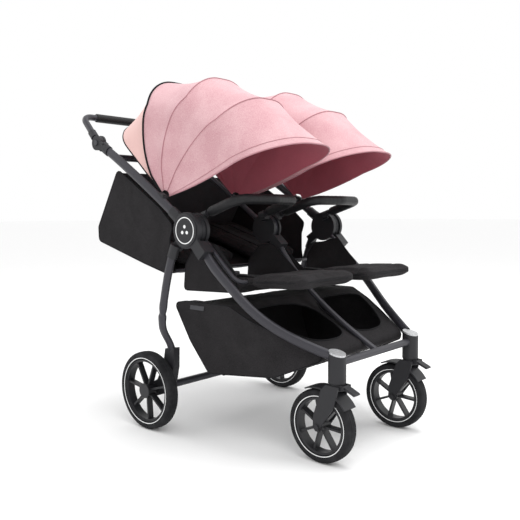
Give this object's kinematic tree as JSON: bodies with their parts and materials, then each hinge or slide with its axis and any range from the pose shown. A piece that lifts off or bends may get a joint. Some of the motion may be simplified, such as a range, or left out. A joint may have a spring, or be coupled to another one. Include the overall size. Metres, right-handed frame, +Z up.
{
  "type": "twin pushchair",
  "caption": "Side-by-side twin pushchair with hoods, padded seats, bumper bars, a rear bag, a basket and a folding frame on swivelling front wheels and braked rear wheels",
  "frame": {"origin": "on the floor under the middle of the whole pushchair's bounding box", "axes": "+Z up, -Y the direction of travel (front), +X the seated children's left; the YZ plane is the plane of symmetry"},
  "size_m": [0.737, 1.083, 1.1304],
  "materials": {
    "frame_tube": "satin",
    "hub_plastic": "matte",
    "dark_plastic": "matte",
    "silver_cap": "semi gloss",
    "foam_grip": "matte",
    "bumper_cover": "grained",
    "tyre": "matte",
    "rim_plastic": "matte",
    "steel": "satin",
    "seat_cloth": "woven",
    "bag_cloth": "woven",
    "basket_cloth": "woven",
    "hood_pink": "woven",
    "hood_peach": "woven"
  },
  "bodies": {
    "front_frame": {"side_hubs": "hub_plastic", "hub_covers": "dark_plastic", "front_tubes": "frame_tube", "swivel_housings": "hub_plastic", "swivel_caps": "silver_cap", "front_crossbar": "frame_tube", "centre_hub": "hub_plastic", "centre_tube": "frame_tube", "seat_front_tube": "frame_tube", "seat_bases": "seat_cloth", "seat_side_panels": "seat_cloth", "basket": "basket_cloth"},
    "push_frame": {"push_tubes": "frame_tube", "push_knuckles": "hub_plastic", "handle_joint_forks": "hub_plastic", "push_cross_tubes": "frame_tube", "centre_post": "frame_tube", "hood_clips": "hub_plastic", "seat_bag": "bag_cloth", "hood_rear_bows": "frame_tube", "hood_rear_panels": "hood_peach"},
    "handle": {"handle_bar": "frame_tube", "handle_grip": "foam_grip", "handle_joint_discs": "hub_plastic"},
    "rear_frame": {"rear_legs": "frame_tube", "leg_knuckles": "hub_plastic", "leg_sockets": "hub_plastic", "rear_axles": "steel", "rear_cross_tube": "frame_tube"},
    "brake": {"brake_pedal": "hub_plastic"},
    "handle_button_left": {"handle_button_left": "dark_plastic"},
    "backrest_left": {"backrest_left": "seat_cloth"},
    "legrest_left": {"legrest_left": "seat_cloth"},
    "hood_mid_left": {"hood_mid_left": "hood_pink"},
    "hood_upper_left": {"hood_upper_left": "hood_pink"},
    "hood_front_left": {"hood_front_left": "hood_pink"},
    "bumper_left": {"bumper_bar_left": "frame_tube", "bumper_grip_left": "bumper_cover"},
    "fork_left": {"fork_left": "hub_plastic"},
    "front_wheel_left": {"front_tyre_left": "tyre", "front_rim_left": "rim_plastic"},
    "swivel_lock_left": {"swivel_lock_left": "hub_plastic"},
    "rear_wheel_left": {"rear_tyre_left": "tyre", "rear_rim_left": "rim_plastic"},
    "handle_button_right": {"handle_button_right": "dark_plastic"},
    "backrest_right": {"backrest_right": "seat_cloth"},
    "legrest_right": {"legrest_right": "seat_cloth"},
    "hood_mid_right": {"hood_mid_right": "hood_pink"},
    "hood_upper_right": {"hood_upper_right": "hood_pink"},
    "hood_front_right": {"hood_front_right": "hood_pink"},
    "bumper_right": {"bumper_bar_right": "frame_tube", "bumper_grip_right": "bumper_cover"},
    "fork_right": {"fork_right": "hub_plastic"},
    "front_wheel_right": {"front_tyre_right": "tyre", "front_rim_right": "rim_plastic"},
    "swivel_lock_right": {"swivel_lock_right": "hub_plastic"},
    "rear_wheel_right": {"rear_tyre_right": "tyre", "rear_rim_right": "rim_plastic"}
  },
  "joints": [
    {"name": "frame_fold", "type": "hinge", "parent": "front_frame", "child": "push_frame", "pos_m": [0, -0.0455, 0.648], "axis": [1, 0, 0], "range_deg": [0, 144], "deforming": ["hood_rear_bows", "hood_rear_panels", "hood_mid_left", "hood_mid_right", "hood_upper_left", "hood_upper_right", "hood_front_left", "hood_front_right"]},
    {"name": "rear_leg_fold", "type": "hinge", "parent": "front_frame", "child": "rear_frame", "pos_m": [0, -0.0455, 0.648], "axis": [1, 0, 0], "range_deg": [-43.7, 0]},
    {"name": "handle_tilt", "type": "hinge", "parent": "push_frame", "child": "handle", "pos_m": [0, 0.4095, 0.939], "axis": [1, 0, 0], "range_deg": [-40, 40]},
    {"name": "brake_press", "type": "hinge", "parent": "rear_frame", "child": "brake", "pos_m": [0, 0.1445, 0.134], "axis": [1, 0, 0], "range_deg": [-20, 0]},
    {"name": "handle_button_press_left", "type": "slide", "parent": "push_frame", "child": "handle_button_left", "axis": [-1, 0, 0], "range_m": [0, 0.0025], "stiffness_N_per_m": 800},
    {"name": "backrest_recline_left", "type": "hinge", "parent": "push_frame", "child": "backrest_left", "pos_m": [0, 0.0385, 0.522], "axis": [-1, 0, 0], "range_deg": [-45, 0]},
    {"name": "legrest_tilt_left", "type": "hinge", "parent": "front_frame", "child": "legrest_left", "pos_m": [0, -0.2105, 0.5], "axis": [-1, 0, 0], "range_deg": [-30, 0]},
    {"name": "hood_close_left", "type": "hinge", "parent": "push_frame", "child": "hood_mid_left", "pos_m": [0, 0.0845, 0.748], "axis": [1, 0, 0], "range_deg": [-24, 0]},
    {"name": "hood_upper_close_left", "type": "hinge", "parent": "hood_mid_left", "child": "hood_upper_left", "pos_m": [0, 0.0845, 0.748], "axis": [1, 0, 0], "range_deg": [-23.5, 0]},
    {"name": "hood_rim_close_left", "type": "hinge", "parent": "hood_upper_left", "child": "hood_front_left", "pos_m": [0, 0.0845, 0.748], "axis": [1, 0, 0], "range_deg": [-20, 0]},
    {"name": "bumper_pull_left", "type": "slide", "parent": "front_frame", "child": "bumper_left", "axis": [0, 0.9511, -0.309], "range_m": [-0.06, 0]},
    {"name": "castor_swivel_left", "type": "hinge", "parent": "front_frame", "child": "fork_left", "pos_m": [0.2024, -0.4755, 0.25], "axis": [0, 0, 1], "continuous": true},
    {"name": "front_wheel_spin_left", "type": "hinge", "parent": "fork_left", "child": "front_wheel_left", "pos_m": [0.2024, -0.4255, 0.105], "axis": [1, 0, 0], "continuous": true},
    {"name": "swivel_lock_press_left", "type": "hinge", "parent": "fork_left", "child": "swivel_lock_left", "pos_m": [0.2024, -0.504, 0.226], "axis": [1, 0, 0], "range_deg": [0, 12]},
    {"name": "rear_wheel_spin_left", "type": "hinge", "parent": "rear_frame", "child": "rear_wheel_left", "pos_m": [0.336, 0.1745, 0.126], "axis": [1, 0, 0], "continuous": true},
    {"name": "handle_button_press_right", "type": "slide", "parent": "push_frame", "child": "handle_button_right", "axis": [1, 0, 0], "range_m": [0, 0.0025], "stiffness_N_per_m": 800},
    {"name": "backrest_recline_right", "type": "hinge", "parent": "push_frame", "child": "backrest_right", "pos_m": [0, 0.0385, 0.522], "axis": [-1, 0, 0], "range_deg": [-45, 0]},
    {"name": "legrest_tilt_right", "type": "hinge", "parent": "front_frame", "child": "legrest_right", "pos_m": [0, -0.2105, 0.5], "axis": [-1, 0, 0], "range_deg": [-30, 0]},
    {"name": "hood_close_right", "type": "hinge", "parent": "push_frame", "child": "hood_mid_right", "pos_m": [0, 0.0845, 0.748], "axis": [1, 0, 0], "range_deg": [-24, 0]},
    {"name": "hood_upper_close_right", "type": "hinge", "parent": "hood_mid_right", "child": "hood_upper_right", "pos_m": [0, 0.0845, 0.748], "axis": [1, 0, 0], "range_deg": [-23.5, 0]},
    {"name": "hood_rim_close_right", "type": "hinge", "parent": "hood_upper_right", "child": "hood_front_right", "pos_m": [0, 0.0845, 0.748], "axis": [1, 0, 0], "range_deg": [-20, 0]},
    {"name": "bumper_pull_right", "type": "slide", "parent": "front_frame", "child": "bumper_right", "axis": [0, 0.9511, -0.309], "range_m": [-0.06, 0]},
    {"name": "castor_swivel_right", "type": "hinge", "parent": "front_frame", "child": "fork_right", "pos_m": [-0.2024, -0.4755, 0.25], "axis": [0, 0, 1], "continuous": true},
    {"name": "front_wheel_spin_right", "type": "hinge", "parent": "fork_right", "child": "front_wheel_right", "pos_m": [-0.2024, -0.4255, 0.105], "axis": [1, 0, 0], "continuous": true},
    {"name": "swivel_lock_press_right", "type": "hinge", "parent": "fork_right", "child": "swivel_lock_right", "pos_m": [-0.2024, -0.504, 0.226], "axis": [1, 0, 0], "range_deg": [0, 12]},
    {"name": "rear_wheel_spin_right", "type": "hinge", "parent": "rear_frame", "child": "rear_wheel_right", "pos_m": [-0.336, 0.1745, 0.126], "axis": [1, 0, 0], "continuous": true}
  ],
  "couplings": [
    {"joint": "rear_leg_fold", "follows": "frame_fold", "ratio": -0.3},
    {"joint": "hood_upper_close_left", "follows": "hood_close_left", "ratio": 0.96},
    {"joint": "hood_rim_close_left", "follows": "hood_close_left", "ratio": 0.8},
    {"joint": "hood_upper_close_right", "follows": "hood_close_right", "ratio": 0.96},
    {"joint": "hood_rim_close_right", "follows": "hood_close_right", "ratio": 0.8}
  ]
}
